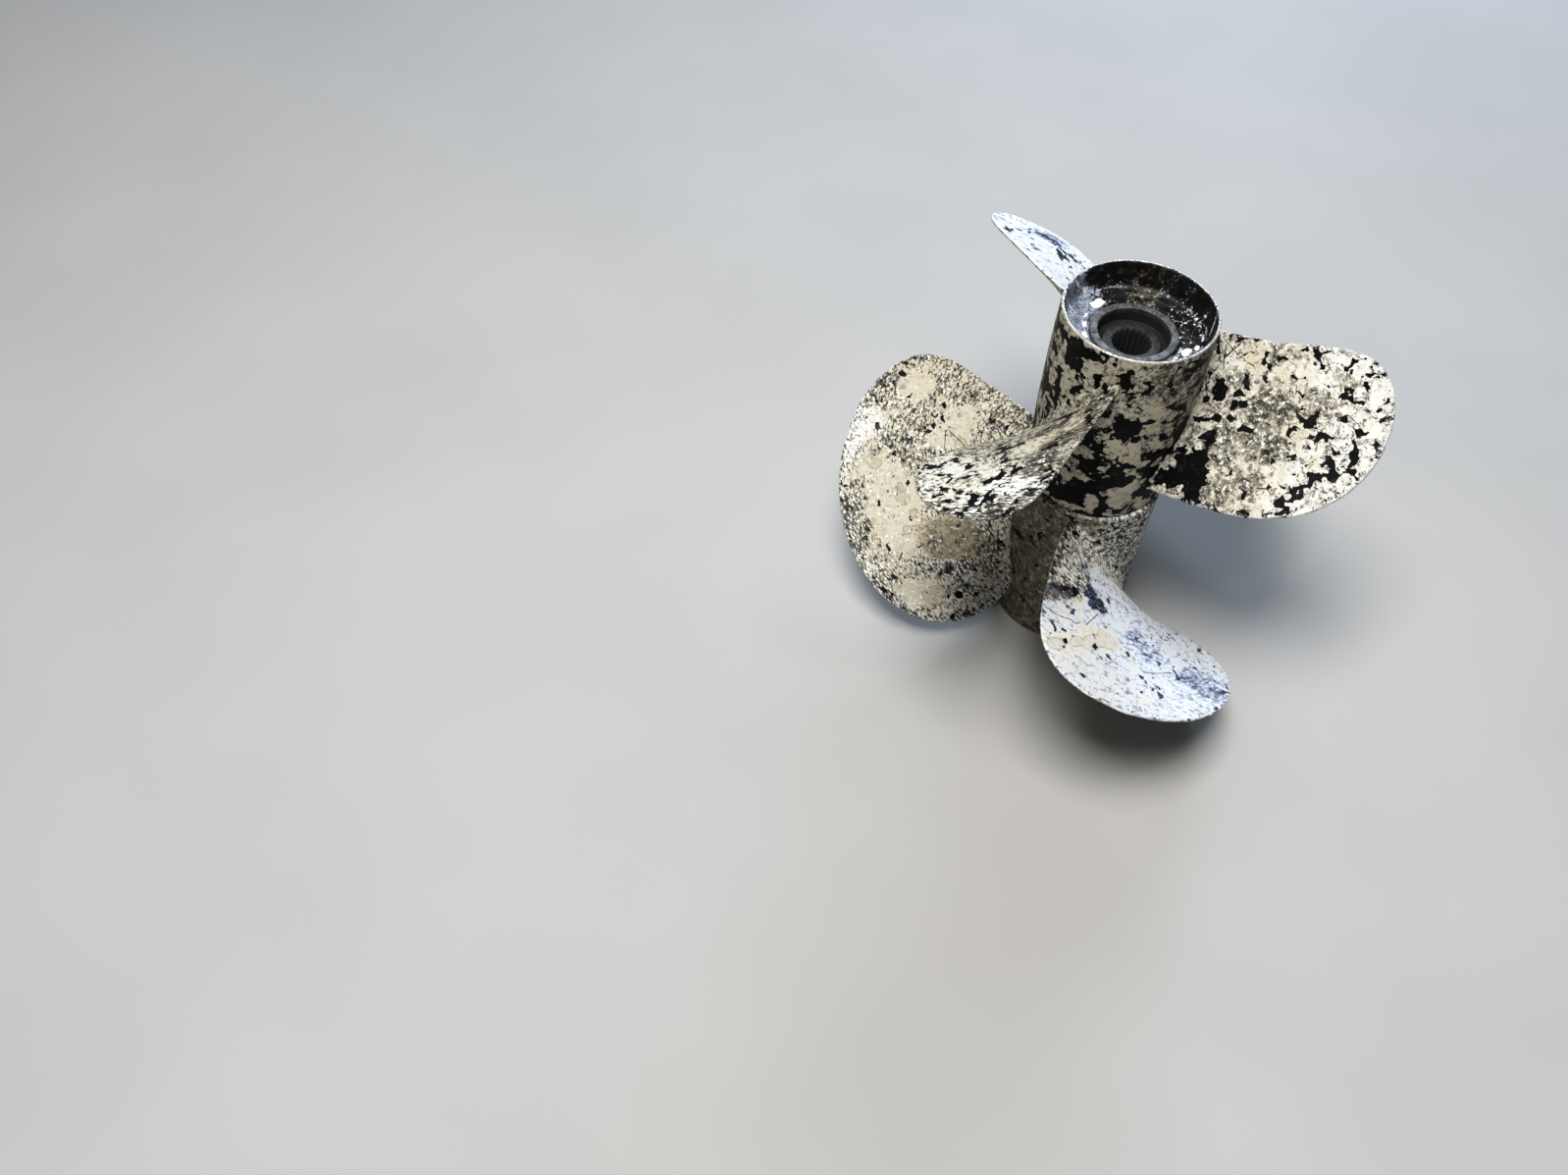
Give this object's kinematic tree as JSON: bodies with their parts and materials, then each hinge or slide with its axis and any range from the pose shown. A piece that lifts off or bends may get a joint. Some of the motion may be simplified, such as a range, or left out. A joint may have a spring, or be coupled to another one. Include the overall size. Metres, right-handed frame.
{
  "type": "contra-rotating boat propeller pair",
  "caption": "Pair of three-bladed aluminium boat propellers of opposite hand, stacked hub on hub, with splined rubber bushes in open-ended hubs.",
  "frame": {"origin": "on the shaft axis, in the plane of the front hub's forward end, which stands on the floor", "axes": "+Z along the shaft axis from the front propeller to the rear one (aft); +X to the right in the picture, +Y away from the camera"},
  "size_m": [0.3511, 0.3579, 0.2855],
  "materials": {
    "front_paint": "flaking off-white antifouling over black",
    "front_bush_metal": "dull, stained",
    "front_rubber": "matt, aged",
    "front_sleeve": "dull, greased",
    "rear_paint": "flaking off-white antifouling over black",
    "rear_bush_metal": "dull, stained",
    "rear_rubber": "matt, aged",
    "rear_sleeve": "dull, greased"
  },
  "bodies": {
    "front_propeller": {"front_propeller_casting": "front_paint", "front_bush_shell": "front_bush_metal", "front_rubber_bush": "front_rubber", "front_splined_sleeve": "front_sleeve"},
    "rear_propeller": {"rear_propeller_casting": "rear_paint", "rear_bush_shell": "rear_bush_metal", "rear_rubber_bush": "rear_rubber", "rear_splined_sleeve": "rear_sleeve"}
  },
  "joints": [
    {"name": "rear_propeller_spin", "type": "hinge", "parent": "front_propeller", "child": "rear_propeller", "pos_m": [0, 0, 0.1412], "axis": [0, 0, 1], "continuous": true}
  ]
}
